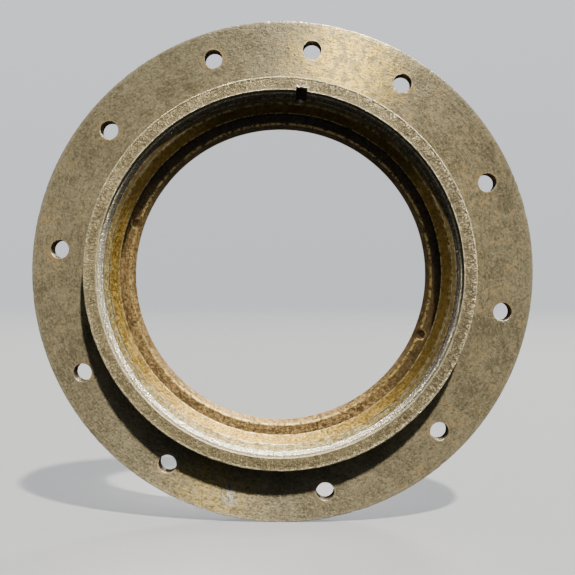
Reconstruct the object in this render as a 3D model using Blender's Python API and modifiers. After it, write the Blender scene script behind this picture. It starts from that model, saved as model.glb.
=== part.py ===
"""Round flanged sight glass: a screwed stack of rings that clamps a glass disc in a collared flange.

It hangs upright, as on a wall: the origin is on the bore's axis in the plane of the flange's back
face, and the viewing side faces -Y. Pieces are drawn about a local Z axis, with heights measured
forward from the back face, and one empty, sight_glass_axis, turns that axis to -Y. Bearings are
measured clockwise from the top, as on a clock face seen from the viewing side.
"""

import math

import bmesh
import bpy

MM = 0.001

# Mounting flange
FLANGE_RADIUS = 250 * MM
FLANGE_THICKNESS = 15 * MM
PLATE_OFFSET = (1.6 * MM, 1.8 * MM)
BOLT_CIRCLE_RADIUS = 223.2 * MM
BOLT_HOLE_RADIUS = 9 * MM
BOLT_HOLE_BEARINGS = (7.8, 32.5, 66.3, 100.0, 135.1, 168.7, 210.9, 243.4, 276.1, 309.6, 342.3)

# Collar
HEIGHT = 31 * MM
COLLAR_RADIUS = 193.1 * MM
COLLAR_MOUTH_RADIUS = 179.9 * MM
COLLAR_MOUTH_DEPTH = 3.6 * MM
COLLAR_STEP_RADIUS = 178 * MM
THREAD_RADIUS = 174.4 * MM
BACK_RECESS = 0.5 * MM
COLLAR_LEDGE_HEIGHT = 2.7 * MM
COLLAR_LEDGE_RADIUS = 171 * MM
KEYWAY_BEARING = 6.8
KEYWAY_WIDTH = 10.4 * MM
KEYWAY_DEPTH = 3.4 * MM

# Seat ring
SEAT_RIM_RADIUS = 170.7 * MM
SEAT_TOP = 5.4 * MM
SEAT_EDGE_RADIUS = 152 * MM
SEAT_BEVEL_RADIUS = 149.4 * MM
SEAT_BEVEL_DROP = 1.6 * MM
OPENING_RADIUS = 146.2 * MM
SPANNER_HOLE_RADIUS = 4.8 * MM
SPANNER_HOLE_CIRCLE_RADIUS = 153.6 * MM
SPANNER_HOLE_BEARINGS = (113.2, 289.6)
SPANNER_HOLE_FLOOR = 1.6 * MM

# Glass and its seals
GAP = 0.3 * MM
GASKET_THICKNESS = 1.2 * MM
GASKET_OUTER_RADIUS = 171.5 * MM
REAR_GASKET_INNER_RADIUS = 162 * MM
FRONT_GASKET_INNER_RADIUS = 160.5 * MM
GLASS_RADIUS = 170 * MM
GLASS_THICKNESS = 8 * MM

# Thrust ring and retaining ring
THRUST_FOOT_THICKNESS = 1.5 * MM
THRUST_INNER_RADIUS = 159.8 * MM
THRUST_BEVEL_FOOT = 0.6 * MM
THRUST_UPSTAND_RADIUS = 168.6 * MM
THRUST_UPSTAND_HEIGHT = 6.3 * MM
RETAINING_INNER_RADIUS = 169 * MM
RETAINING_TOP = 24.5 * MM
RETAINING_DISH = 1.6 * MM

# Locking screw, in the floor of the retaining ring's slot
SLOT_FLOOR_DROP = 2.8 * MM
SCREW_CIRCLE_RADIUS = 171.5 * MM
SCREW_HEAD_RADIUS = 2.1 * MM
SCREW_HEAD_HEIGHT = 1.4 * MM
SCREW_SHANK_RADIUS = 1.3 * MM
SCREW_HOLE_RADIUS = 1.6 * MM
SCREW_SLOT_WIDTH = 0.7 * MM
SCREW_SLOT_DEPTH = 0.7 * MM

EDGE = 0.8 * MM
FINE_EDGE = 0.3 * MM
RING_STEPS = 96
SCREW_STEPS = 20
HOLE_SEGMENTS = 28
SCREW_HOLE_SEGMENTS = 16
MERGE = 0.00001

# Heights that follow from the stack
STACK_RADIUS = THREAD_RADIUS - GAP
REAR_GASKET_BOTTOM = SEAT_TOP + GAP
GLASS_BOTTOM = REAR_GASKET_BOTTOM + GASKET_THICKNESS + GAP
GLASS_TOP = GLASS_BOTTOM + GLASS_THICKNESS
FRONT_GASKET_BOTTOM = GLASS_TOP + GAP
THRUST_BOTTOM = FRONT_GASKET_BOTTOM + GASKET_THICKNESS + GAP
THRUST_FOOT_TOP = THRUST_BOTTOM + THRUST_FOOT_THICKNESS
RETAINING_BOTTOM = THRUST_FOOT_TOP + GAP
SLOT_FLOOR = RETAINING_TOP - SLOT_FLOOR_DROP


class Assembly:
    """Where new objects go: the collection of parts, the collection of cutters, and their axis."""

    def __init__(self):
        self.parts = new_collection("sight_glass")
        self.cutters = new_collection("cutters")
        self.axis = self.new_empty("sight_glass_axis", None)
        self.axis.rotation_euler.x = math.radians(90)
        self.ring_axis = self.new_empty("retaining_ring_axis", self.axis)

    def new_empty(self, name, parent):
        empty = bpy.data.objects.new(name, None)
        self.parts.objects.link(empty)
        empty.parent = parent
        return empty

    def new_part(self, name, mesh, material, parent=None):
        obj = bpy.data.objects.new(name, mesh)
        self.parts.objects.link(obj)
        obj.parent = parent or self.axis
        mesh.materials.append(material)
        return obj

    def new_cutter(self, name, build):
        """A hidden mesh, filled in by build(shape), that Booleans subtract."""
        mesh = bpy.data.meshes.new(name)
        shape = bmesh.new()
        build(shape)
        shape.to_mesh(mesh)
        shape.free()
        obj = bpy.data.objects.new(name, mesh)
        self.cutters.objects.link(obj)
        obj.parent = self.axis
        obj.hide_render = True
        obj.display_type = "WIRE"
        return obj


def clear_scene():
    for obj in list(bpy.data.objects):
        bpy.data.objects.remove(obj)


def new_collection(name):
    collection = bpy.data.collections.new(name)
    bpy.context.scene.collection.children.link(collection)
    return collection


def new_material(name, colour, roughness, metallic, transmission=0.0):
    material = bpy.data.materials.new(name)
    material.use_nodes = True
    shader = material.node_tree.nodes["Principled BSDF"]
    shader.inputs["Base Color"].default_value = (*colour, 1.0)
    shader.inputs["Roughness"].default_value = roughness
    shader.inputs["Metallic"].default_value = metallic
    shader.inputs["Transmission Weight"].default_value = transmission
    return material


def clock(radius, bearing):
    """The local x, y of a point at this radius, at a bearing in degrees clockwise from the top."""
    angle = math.radians(bearing)
    return radius * math.sin(angle), radius * math.cos(angle)


def chamfered(corners):
    """Profile points from (radius, height, chamfer) corners: a chamfered corner becomes two points."""
    points = []
    for i, (radius, height, chamfer) in enumerate(corners):
        if not chamfer:
            points.append((radius, height))
            continue
        for neighbour in (corners[i - 1], corners[(i + 1) % len(corners)]):
            run = neighbour[0] - radius
            rise = neighbour[1] - height
            part = chamfer / math.hypot(run, rise)
            points.append((radius + run * part, height + rise * part))
    return points


def turn_profile(obj, steps):
    screw = obj.modifiers.new("turn", "SCREW")
    screw.axis = "Z"
    screw.steps = steps
    screw.render_steps = steps
    screw.use_merge_vertices = True
    screw.merge_threshold = MERGE
    screw.use_smooth_shade = True


def turned_ring(assembly, name, corners, material, parent=None):
    """A closed profile, given down its outer side and up its inner side, turned about the axis."""
    points = chamfered(corners)
    count = len(points)
    mesh = bpy.data.meshes.new(name)
    edges = [(i, (i + 1) % count) for i in range(count)]
    mesh.from_pydata([(radius, 0, height) for radius, height in points], edges, [])
    ring = assembly.new_part(name, mesh, material, parent)
    turn_profile(ring, RING_STEPS)
    return ring


def flat_ring(assembly, name, outer, inner, bottom, thickness, material):
    corners = [
        (outer, bottom + thickness, 0),
        (outer, bottom, 0),
        (inner, bottom, 0),
        (inner, bottom + thickness, 0),
    ]
    turned_ring(assembly, name, corners, material)


def add_cylinder(shape, radius, bottom, top, centre, segments):
    made = bmesh.ops.create_cone(
        shape,
        cap_ends=True,
        segments=segments,
        radius1=radius,
        radius2=radius,
        depth=top - bottom,
    )
    middle = (top + bottom) / 2
    bmesh.ops.translate(shape, verts=made["verts"], vec=(*centre, middle))


def slot_cutter(assembly, name, inner, outer, bottom, top, width):
    """A block at the keyway's bearing, between two radii and two heights."""

    def build(shape):
        made = bmesh.ops.create_cube(shape, size=1)
        bmesh.ops.scale(shape, verts=made["verts"], vec=(width, outer - inner, top - bottom))
        middle = (0, (inner + outer) / 2, (top + bottom) / 2)
        bmesh.ops.translate(shape, verts=made["verts"], vec=middle)

    tool = assembly.new_cutter(name, build)
    tool.rotation_euler.z = -math.radians(KEYWAY_BEARING)
    return tool


def cut(obj, tool):
    boolean = obj.modifiers.new(tool.name, "BOOLEAN")
    boolean.operation = "DIFFERENCE"
    boolean.solver = "EXACT"
    boolean.object = tool


def make_flange(assembly, material):
    """Rim and bolt circle share a centre, which stands a little off the bore's axis."""
    blank_bore = COLLAR_RADIUS - 2 * PLATE_OFFSET[1]
    flange = turned_ring(
        assembly,
        "mounting_flange",
        [
            (FLANGE_RADIUS, FLANGE_THICKNESS, EDGE),
            (FLANGE_RADIUS, 0, EDGE),
            (blank_bore, 0, 0),
            (blank_bore, FLANGE_THICKNESS, 0),
        ],
        material,
    )
    flange.location.xy = PLATE_OFFSET
    low = -EDGE
    high = FLANGE_THICKNESS + EDGE

    def build_bore(shape):
        add_cylinder(shape, COLLAR_RADIUS + GAP, low, high, (0, 0), RING_STEPS)

    def build_holes(shape):
        for bearing in BOLT_HOLE_BEARINGS:
            across, up = clock(BOLT_CIRCLE_RADIUS, bearing)
            centre = (across + PLATE_OFFSET[0], up + PLATE_OFFSET[1])
            add_cylinder(shape, BOLT_HOLE_RADIUS, low, high, centre, HOLE_SEGMENTS)

    cut(flange, assembly.new_cutter("flange_bore", build_bore))
    cut(flange, assembly.new_cutter("bolt_holes", build_holes))


def make_collar(assembly, material):
    """A sleeve through the flange's bore, brazed there, with a ledge inside its back end."""
    collar = turned_ring(
        assembly,
        "collar",
        [
            (COLLAR_RADIUS, HEIGHT, EDGE),
            (COLLAR_RADIUS, BACK_RECESS, 0),
            (COLLAR_LEDGE_RADIUS, BACK_RECESS, 0),
            (COLLAR_LEDGE_RADIUS, COLLAR_LEDGE_HEIGHT, 0),
            (THREAD_RADIUS, COLLAR_LEDGE_HEIGHT, 0),
            (THREAD_RADIUS, RETAINING_TOP, 0),
            (COLLAR_STEP_RADIUS, HEIGHT - COLLAR_MOUTH_DEPTH, 0),
            (COLLAR_MOUTH_RADIUS, HEIGHT - COLLAR_MOUTH_DEPTH, 0),
            (COLLAR_MOUTH_RADIUS, HEIGHT, EDGE),
        ],
        material,
    )
    keyway = slot_cutter(
        assembly,
        "collar_keyway",
        THREAD_RADIUS - EDGE,
        COLLAR_MOUTH_RADIUS + KEYWAY_DEPTH,
        SLOT_FLOOR,
        HEIGHT + EDGE,
        KEYWAY_WIDTH,
    )
    cut(collar, keyway)


def make_seat_ring(assembly, material):
    step = COLLAR_LEDGE_HEIGHT + GAP
    seat = turned_ring(
        assembly,
        "seat_ring",
        [
            (STACK_RADIUS, SEAT_TOP, 0),
            (STACK_RADIUS, step, 0),
            (SEAT_RIM_RADIUS, step, 0),
            (SEAT_RIM_RADIUS, BACK_RECESS, 0),
            (OPENING_RADIUS, BACK_RECESS, 0),
            (SEAT_BEVEL_RADIUS, SEAT_TOP - SEAT_BEVEL_DROP, 0),
            (SEAT_EDGE_RADIUS, SEAT_TOP, 0),
        ],
        material,
    )

    def build(shape):
        for bearing in SPANNER_HOLE_BEARINGS:
            centre = clock(SPANNER_HOLE_CIRCLE_RADIUS, bearing)
            top = SEAT_TOP + EDGE
            add_cylinder(
                shape, SPANNER_HOLE_RADIUS, SPANNER_HOLE_FLOOR, top, centre, HOLE_SEGMENTS
            )

    cut(seat, assembly.new_cutter("spanner_holes", build))


def make_seals(assembly, rubber, packing):
    flat_ring(
        assembly,
        "rear_gasket",
        GASKET_OUTER_RADIUS,
        REAR_GASKET_INNER_RADIUS,
        REAR_GASKET_BOTTOM,
        GASKET_THICKNESS,
        rubber,
    )
    flat_ring(
        assembly,
        "front_gasket",
        GASKET_OUTER_RADIUS,
        FRONT_GASKET_INNER_RADIUS,
        FRONT_GASKET_BOTTOM,
        GASKET_THICKNESS,
        rubber,
    )
    flat_ring(
        assembly,
        "glass_edge_packing",
        STACK_RADIUS,
        GLASS_RADIUS + GAP,
        GLASS_BOTTOM,
        GLASS_THICKNESS,
        packing,
    )


def make_glass(assembly, material):
    mesh = bpy.data.meshes.new("glass_disc")
    shape = bmesh.new()
    add_cylinder(shape, GLASS_RADIUS, GLASS_BOTTOM, GLASS_TOP, (0, 0), RING_STEPS)
    shape.to_mesh(mesh)
    shape.free()
    glass = assembly.new_part("glass_disc", mesh, material)
    mesh.shade_smooth()
    mesh.set_sharp_from_angle(angle=math.radians(30))
    ground_edge = glass.modifiers.new("ground_edge", "BEVEL")
    ground_edge.width = EDGE
    ground_edge.segments = 1
    ground_edge.limit_method = "ANGLE"


def make_thrust_ring(assembly, material):
    """It doesn't turn, but it travels with the retaining ring that pushes it."""
    top = THRUST_BOTTOM + THRUST_UPSTAND_HEIGHT
    turned_ring(
        assembly,
        "thrust_ring",
        [
            (THRUST_UPSTAND_RADIUS, top, FINE_EDGE),
            (THRUST_UPSTAND_RADIUS, THRUST_FOOT_TOP, 0),
            (STACK_RADIUS, THRUST_FOOT_TOP, 0),
            (STACK_RADIUS, THRUST_BOTTOM, 0),
            (THRUST_INNER_RADIUS, THRUST_BOTTOM, 0),
            (THRUST_INNER_RADIUS, THRUST_BOTTOM + THRUST_BEVEL_FOOT, 0),
        ],
        material,
        assembly.ring_axis,
    )


def make_retaining_ring(assembly, material):
    ring = turned_ring(
        assembly,
        "retaining_ring",
        [
            (STACK_RADIUS, RETAINING_TOP, FINE_EDGE),
            (STACK_RADIUS, RETAINING_BOTTOM, FINE_EDGE),
            (RETAINING_INNER_RADIUS, RETAINING_BOTTOM, 0),
            (RETAINING_INNER_RADIUS, RETAINING_TOP - RETAINING_DISH, FINE_EDGE),
        ],
        material,
        assembly.ring_axis,
    )
    slot = slot_cutter(
        assembly,
        "retaining_ring_slot",
        RETAINING_INNER_RADIUS - EDGE,
        STACK_RADIUS + EDGE,
        SLOT_FLOOR,
        RETAINING_TOP + EDGE,
        KEYWAY_WIDTH,
    )

    def build(shape):
        centre = clock(SCREW_CIRCLE_RADIUS, KEYWAY_BEARING)
        bottom = RETAINING_BOTTOM - EDGE
        top = SLOT_FLOOR + EDGE
        add_cylinder(shape, SCREW_HOLE_RADIUS, bottom, top, centre, SCREW_HOLE_SEGMENTS)

    cut(ring, slot)
    cut(ring, assembly.new_cutter("locking_screw_hole", build))


def make_locking_screw(assembly, material):
    head_bottom = SLOT_FLOOR + GAP
    head_top = head_bottom + SCREW_HEAD_HEIGHT
    points = [
        (0, head_top),
        (SCREW_HEAD_RADIUS, head_top),
        (SCREW_HEAD_RADIUS, head_bottom),
        (SCREW_SHANK_RADIUS, head_bottom),
        (SCREW_SHANK_RADIUS, RETAINING_BOTTOM),
        (0, RETAINING_BOTTOM),
    ]
    mesh = bpy.data.meshes.new("locking_screw")
    edges = [(i, i + 1) for i in range(len(points) - 1)]
    mesh.from_pydata([(radius, 0, height) for radius, height in points], edges, [])
    screw = assembly.new_part("locking_screw", mesh, material, assembly.ring_axis)
    screw.location.xy = clock(SCREW_CIRCLE_RADIUS, KEYWAY_BEARING)
    turn_profile(screw, SCREW_STEPS)
    reach = 2 * SCREW_HEAD_RADIUS
    driver_slot = slot_cutter(
        assembly,
        "screwdriver_slot",
        SCREW_CIRCLE_RADIUS - reach,
        SCREW_CIRCLE_RADIUS + reach,
        head_top - SCREW_SLOT_DEPTH,
        head_top + EDGE,
        SCREW_SLOT_WIDTH,
    )
    cut(screw, driver_slot)


def main():
    clear_scene()
    assembly = Assembly()
    make_flange(assembly, new_material("flange_brass", (0.36, 0.31, 0.19), 0.42, 1.0))
    make_collar(assembly, new_material("collar_brass", (0.42, 0.38, 0.26), 0.5, 1.0))
    make_seat_ring(assembly, new_material("seat_brass", (0.42, 0.28, 0.13), 0.5, 1.0))
    rubber = new_material("gasket_rubber", (0.035, 0.028, 0.022), 0.8, 0.0)
    packing = new_material("packing_rubber", (0.2, 0.12, 0.06), 0.9, 0.0)
    make_seals(assembly, rubber, packing)
    make_glass(assembly, new_material("clear_glass", (0.95, 0.98, 0.96), 0.02, 0.0, 1.0))
    make_thrust_ring(assembly, new_material("thrust_brass", (0.56, 0.42, 0.18), 0.45, 1.0))
    make_retaining_ring(assembly, new_material("retaining_brass", (0.66, 0.6, 0.42), 0.32, 1.0))
    make_locking_screw(assembly, new_material("screw_steel", (0.6, 0.6, 0.6), 0.3, 1.0))


main()
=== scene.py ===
"""Looks of the round flanged sight glass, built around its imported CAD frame.

The object hangs upright: its axis is Y and its viewing side faces -Y. Pieces are drawn in
millimetres, with heights measured forward from the back face and bearings clockwise from the top
as seen from the front, and become metres as their meshes are made.
"""

import itertools
import math
import random

import bpy
import numpy as np
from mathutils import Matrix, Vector


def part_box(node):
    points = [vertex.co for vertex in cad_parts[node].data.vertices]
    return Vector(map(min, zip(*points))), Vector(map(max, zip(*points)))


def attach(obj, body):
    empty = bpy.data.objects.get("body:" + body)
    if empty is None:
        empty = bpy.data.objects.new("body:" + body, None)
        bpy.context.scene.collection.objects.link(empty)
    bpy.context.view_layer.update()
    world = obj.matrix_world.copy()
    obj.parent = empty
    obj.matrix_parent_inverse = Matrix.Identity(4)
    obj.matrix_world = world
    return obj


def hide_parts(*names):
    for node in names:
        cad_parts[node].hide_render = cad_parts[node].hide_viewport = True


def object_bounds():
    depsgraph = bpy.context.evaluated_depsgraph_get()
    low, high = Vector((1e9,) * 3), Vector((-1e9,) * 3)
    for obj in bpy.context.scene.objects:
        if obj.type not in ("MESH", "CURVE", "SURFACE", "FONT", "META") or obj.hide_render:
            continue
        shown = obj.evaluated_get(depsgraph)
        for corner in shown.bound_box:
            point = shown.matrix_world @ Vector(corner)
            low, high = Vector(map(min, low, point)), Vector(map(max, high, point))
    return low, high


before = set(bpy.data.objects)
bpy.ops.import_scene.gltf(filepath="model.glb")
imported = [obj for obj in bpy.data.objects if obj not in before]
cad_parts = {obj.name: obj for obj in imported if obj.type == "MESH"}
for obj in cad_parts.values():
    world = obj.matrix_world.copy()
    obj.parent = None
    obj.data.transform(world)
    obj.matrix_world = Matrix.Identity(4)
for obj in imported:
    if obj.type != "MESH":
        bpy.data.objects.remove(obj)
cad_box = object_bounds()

MM = 0.001

# Sizes that the frame gives
FLANGE_LOW, FLANGE_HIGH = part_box("mounting_flange")
COLLAR_LOW, COLLAR_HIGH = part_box("collar")
SEAT_LOW, SEAT_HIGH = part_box("seat_ring")
THRUST_LOW, THRUST_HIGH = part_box("thrust_ring")
RETAINING_LOW, RETAINING_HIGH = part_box("retaining_ring")
GLASS_LOW, GLASS_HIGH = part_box("glass_disc")
PACKING_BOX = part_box("glass_edge_packing")
REAR_GASKET_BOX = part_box("rear_gasket")
FRONT_GASKET_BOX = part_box("front_gasket")
SCREW_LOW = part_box("locking_screw")[0]

FLANGE_RADIUS = (FLANGE_HIGH.x - FLANGE_LOW.x) / 2 / MM
RUN_OUT = ((FLANGE_HIGH.x + FLANGE_LOW.x) / 2 / MM, (FLANGE_HIGH.z + FLANGE_LOW.z) / 2 / MM)
FLANGE_FACE = -FLANGE_LOW.y / MM
COLLAR_RADIUS = COLLAR_HIGH.x / MM
COLLAR_FACE = -COLLAR_LOW.y / MM
BACK_RECESS = -COLLAR_HIGH.y / MM
SEAT_RADIUS = SEAT_HIGH.x / MM
SEAT_FACE = -SEAT_LOW.y / MM
THRUST_RADIUS = THRUST_HIGH.x / MM
THRUST_BOTTOM = -THRUST_HIGH.y / MM
THRUST_TOP = -THRUST_LOW.y / MM
RETAINING_BOTTOM = -RETAINING_HIGH.y / MM
RETAINING_TOP = -RETAINING_LOW.y / MM
GLASS_RADIUS = GLASS_HIGH.x / MM
GLASS_BOTTOM = -GLASS_HIGH.y / MM
GLASS_TOP = -GLASS_LOW.y / MM
SCREW_TOP = -SCREW_LOW.y / MM

# Sizes inside those boxes, as in the CAD source
BOLT_CIRCLE_RADIUS = 223.2
BOLT_HOLE_RADIUS = 9
BOLT_HOLE_BEARINGS = (7.8, 32.5, 66.3, 100.0, 135.1, 168.7, 210.9, 243.4, 276.1, 309.6, 342.3)
MOUTH_RADIUS = 179.9
MOUTH_DEPTH = 3.6
STEP_RADIUS = 178
THREAD_RADIUS = 174.4
LEDGE_RADIUS = 171
LEDGE_HEIGHT = 2.7
KEYWAY_BEARING = 6.8
KEYWAY_WIDTH = 10.4
KEYWAY_DEPTH = 3.4
SLOT_DROP = 2.8
SEAT_RIM_RADIUS = 170.7
SEAT_EDGE_RADIUS = 152
SEAT_BEVEL_RADIUS = 149.4
SEAT_BEVEL_DROP = 1.6
OPENING_RADIUS = 146.2
SPANNER_HOLE_RADIUS = 4.8
SPANNER_HOLE_CIRCLE_RADIUS = 153.6
SPANNER_HOLE_BEARINGS = (113.2, 289.6)
SPANNER_HOLE_FLOOR = 1.6
GAP = 0.3
REAR_GASKET_INNER_RADIUS = 162
FRONT_GASKET_INNER_RADIUS = 160.5
THRUST_FOOT_THICKNESS = 1.5
THRUST_INNER_RADIUS = 159.8
THRUST_UPSTAND_RADIUS = 168.6
RETAINING_INNER_RADIUS = 169
RETAINING_DISH = 1.6
SCREW_CIRCLE_RADIUS = 171.5
SCREW_HEAD_RADIUS = 2.1
SCREW_HEAD_HEIGHT = 1.4
SCREW_SHANK_RADIUS = 1.3
THREAD_PITCH = 2.0
THREAD_DEPTH = 0.8

# Marks on the flange: x, z and reach in millimetres. The two gold marks are rubbed brass and also a
# painted highlight, where the turned face glints in the key light.
GOLD_RUB_AND_HIGHLIGHT = (66.0, 208.0, 84.0)
LOW_GOLD_RUB_AND_HIGHLIGHT = (-70.0, -222.0, 66.0)
LIME_PATCH = (-52.0, -223.0, 14.0)

# The view, in metres
VIEW_FROM = Vector((0.01574, -0.7732, -0.00135))
VIEW_TOWARDS = Vector((0.00749, -0.015, -0.01276))
FIELD_OF_VIEW = math.radians(41.44)

# The light: suns are (direction, strength, softness in degrees, colour)
KEY_SUN = ((0.47, -1.0, 1.86), 9.0, 3.0, (1.0, 0.955, 0.88))
BACK_SUN = ((0.5, 1.0, 0.8), 2.6, 14.0, (1.0, 0.98, 0.95))
SKY_DIRECTION = (0.35, -0.1, 0.93)
SKY_STRENGTH = 0.75
ROOM_COLOUR = (0.88, 0.94, 1.0)
ROOM_STRENGTH = (0.03, 0.10)
STUDIO_COLOUR = (0.93, 0.95, 1.0)
FLOOR_GLOW = 0.36
DOME_GLOW = (0.86, 1.05)


# ---------------- points and relief


def value_noise(points, cell, seed):
    """Smooth noise from -1 to 1 at points in millimetres: hashed values at a grid's corners, blended."""
    scaled = points / cell
    base = np.floor(scaled).astype(np.int64)
    part = scaled - base
    part = part * part * (3 - 2 * part)
    total = np.zeros(len(points))
    for corner in itertools.product((0, 1), repeat=3):
        x, y, z = (base + corner).T
        code = (x * 73856093) ^ (y * 19349663) ^ (z * 83492791) ^ (seed * 40503)
        code = (code ^ (code >> 13)) * 1274126177
        code = (code ^ (code >> 16)) & 0xFFFF
        weight = np.prod(np.where(corner, part, 1 - part), axis=1)
        total += weight * (code / 32767.5 - 1)
    return total


def smooth_step(value, low, high):
    share = np.clip((value - low) / (high - low), 0, 1)
    return share * share * (3 - 2 * share)


def clock(radius, bearing):
    angle = math.radians(bearing)
    return radius * math.sin(angle), radius * math.cos(angle)


def bolt_place(bearing):
    """A bolt hole's centre: the bolt circle shares the rim's centre."""
    x, z = clock(BOLT_CIRCLE_RADIUS, bearing)
    return x + RUN_OUT[0], z + RUN_OUT[1]


def outline(*corners):
    """Points of a closed profile from (radius, height, rounding, longest step to the next) corners."""
    points = []
    count = len(corners)
    rounded = []
    for i in range(count):
        here = np.array(corners[i][:2], float)
        before = np.array(corners[i - 1][:2], float)
        after = np.array(corners[(i + 1) % count][:2], float)
        size = corners[i][2]
        if not size:
            rounded.append([here])
            continue
        start = here + (before - here) / np.linalg.norm(before - here) * size
        end = here + (after - here) / np.linalg.norm(after - here) * size
        shares = np.linspace(0, 1, 6)
        arc = [(1 - s) ** 2 * start + 2 * s * (1 - s) * here + s * s * end for s in shares]
        rounded.append(arc)
    for i in range(count):
        points.extend(rounded[i])
        start = rounded[i][-1]
        end = rounded[(i + 1) % count][0]
        pieces = max(1, math.ceil(np.linalg.norm(end - start) / corners[i][3]))
        points.extend(start + (end - start) * k / pieces for k in range(1, pieces))
    return np.array(points)


class Grid:
    """A turned surface's points: one row for each bearing, one column for each profile point."""

    def __init__(self, profile, steps):
        self.steps = steps
        self.columns = len(profile)
        angles = np.arange(steps) * 2 * math.pi / steps
        self.bearing = np.repeat(np.degrees(angles), self.columns)
        self.radius = np.tile(profile[:, 0], steps)
        self.height = np.tile(profile[:, 1], steps)
        along = np.roll(profile, -1, axis=0) - np.roll(profile, 1, axis=0)
        normal = np.stack([-along[:, 1], along[:, 0]], axis=1)
        normal /= np.linalg.norm(normal, axis=1, keepdims=True)
        self.normal = np.tile(normal, (steps, 1))
        self.sine = np.repeat(np.sin(angles), self.columns)
        self.cosine = np.repeat(np.cos(angles), self.columns)

    def places(self):
        """Where the points are, in millimetres: x, height, z."""
        return np.stack([self.radius * self.sine, self.height, self.radius * self.cosine], axis=1)

    def push(self, offset):
        """Moves each point along its profile's normal; a positive offset moves it out of the solid."""
        self.radius = self.radius + self.normal[:, 0] * offset
        self.height = self.height + self.normal[:, 1] * offset

    def noise(self, cell, seed):
        return value_noise(self.places(), cell, seed)

    def arc_from(self, bearing):
        """Each point's distance from a bearing, along its own circle, in millimetres."""
        turn = (self.bearing - bearing + 180) % 360 - 180
        return np.radians(turn) * self.radius


def nicks(grid, seed, count, radius, height, reach, depth):
    """Small dents along a circular edge: how far each point is pressed in."""
    draw = random.Random(seed)
    pressed = np.zeros(len(grid.radius))
    near = np.hypot(grid.radius - radius, grid.height - height)
    for _ in range(count):
        bearing = draw.uniform(0, 360)
        width = draw.uniform(*reach)
        deep = draw.uniform(*depth)
        away = np.hypot(grid.arc_from(bearing), near)
        pressed = np.maximum(pressed, deep * np.exp(-((away / width) ** 2)))
    return pressed


def gouges(grid, seed, count, inner, outer, height, length, width, depth):
    """Scratches across a front face, at random slants: how far each point is pressed in."""
    draw = random.Random(seed)
    pressed = np.zeros(len(grid.radius))
    on_face = np.abs(grid.height - height) < 1
    for _ in range(count):
        bearing = draw.uniform(0, 360)
        radius = draw.uniform(inner, outer)
        slant = draw.gauss(0, 0.6)
        half = draw.uniform(*length) / 2
        wide = draw.uniform(*width)
        deep = draw.uniform(*depth)
        across = grid.arc_from(bearing)
        out = grid.radius - radius
        along = out * math.cos(slant) + across * math.sin(slant)
        aside = across * math.cos(slant) - out * math.sin(slant)
        taper = np.clip(1 - (along / half) ** 2, 0, 1)
        pressed = np.maximum(pressed, on_face * deep * taper * np.exp(-((aside / wide) ** 2)))
    return pressed


def deepest(*depths):
    return np.maximum.reduce(depths)


# ---------------- meshes


def new_object(name, data):
    obj = bpy.data.objects.new(name, data)
    bpy.context.scene.collection.objects.link(obj)
    return obj


def points_of(mesh):
    points = np.empty(len(mesh.vertices) * 3, np.float32)
    mesh.vertices.foreach_get("co", points)
    return points.reshape(-1, 3)


def signed_volume(mesh):
    mesh.calc_loop_triangles()
    corners = np.empty(len(mesh.loop_triangles) * 3, np.int32)
    mesh.loop_triangles.foreach_get("vertices", corners)
    a, b, c = points_of(mesh)[corners.reshape(-1, 3)].transpose(1, 0, 2).astype(float)
    return float(np.einsum("ij,ij->i", a, np.cross(b, c)).sum())


def new_solid(name, points, faces):
    """An object with a closed mesh, whose faces are turned outwards."""
    mesh = bpy.data.meshes.new(name)
    mesh.from_pydata(points, [], faces)
    if signed_volume(mesh) < 0:
        mesh.flip_normals()
    return new_object(name, mesh)


def smooth(mesh, angle=34):
    mesh.shade_smooth()
    mesh.set_sharp_from_angle(angle=math.radians(angle))


def turned(name, grid, centre=None):
    """A closed ring from a grid. centre(radius) gives how far its circles stand off the axis."""
    x = grid.radius * grid.sine
    z = grid.radius * grid.cosine
    if centre is not None:
        share = centre(grid.radius)
        x = x + share * RUN_OUT[0]
        z = z + share * RUN_OUT[1]
    points = np.stack([x, -grid.height, z], axis=1) * MM
    row = np.arange(grid.steps)[:, None] * grid.columns
    column = np.arange(grid.columns)[None, :]
    next_row = np.roll(row, -1, axis=0)
    next_column = np.roll(column, -1, axis=1)
    corners = (row + column, next_row + column, next_row + next_column, row + next_column)
    faces = np.stack([c.ravel() for c in corners], axis=1)
    ring = new_solid(name, points.tolist(), faces.tolist())
    smooth(ring.data)
    return ring


def spindle(name, profile, centre, segments):
    """A solid turned about its own axis, parallel to Y, as a cutter: profile is (radius, height)."""
    points = []
    for radius, height in profile:
        for k in range(segments):
            angle = 2 * math.pi * k / segments
            x = centre[0] + radius * math.cos(angle)
            z = centre[1] + radius * math.sin(angle)
            points.append((x * MM, -height * MM, z * MM))
    faces = []
    for i in range(len(profile) - 1):
        for k in range(segments):
            after = (k + 1) % segments
            low = i * segments
            faces.append((low + k, low + after, low + segments + after, low + segments + k))
    last = (len(profile) - 1) * segments
    faces.append(tuple(reversed(range(segments))))
    faces.append(tuple(range(last, last + segments)))
    return new_solid(name, points, faces)


def block(name, centre, along, across, levels):
    """A straight-sided cutter. Its floor and its mouth are (height, near end, far end, half width)."""
    forward = np.array((0, -1, 0))
    points = []
    for height, near, far, half in levels:
        for place, side in ((near, -1), (far, -1), (far, 1), (near, 1)):
            point = centre + along * place + across * side * half + forward * height
            points.append(tuple(point * MM))
    faces = [(0, 1, 2, 3), (7, 6, 5, 4)]
    faces += [(i, i + 4, (i + 1) % 4 + 4, (i + 1) % 4) for i in range(4)]
    return new_solid(name, points, faces)


def slot_block(name, inner, outer, bottom, top, flare):
    """A cutter across the rings at the keyway, wider at its top by flare on each side."""
    angle = math.radians(KEYWAY_BEARING)
    outward = np.array((math.sin(angle), 0, math.cos(angle)))
    across = np.array((math.cos(angle), 0, -math.sin(angle)))
    half = KEYWAY_WIDTH / 2
    levels = ((bottom, inner, outer, half), (top, inner, outer + flare, half + flare))
    return block(name, np.zeros(3), outward, across, levels)


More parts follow.
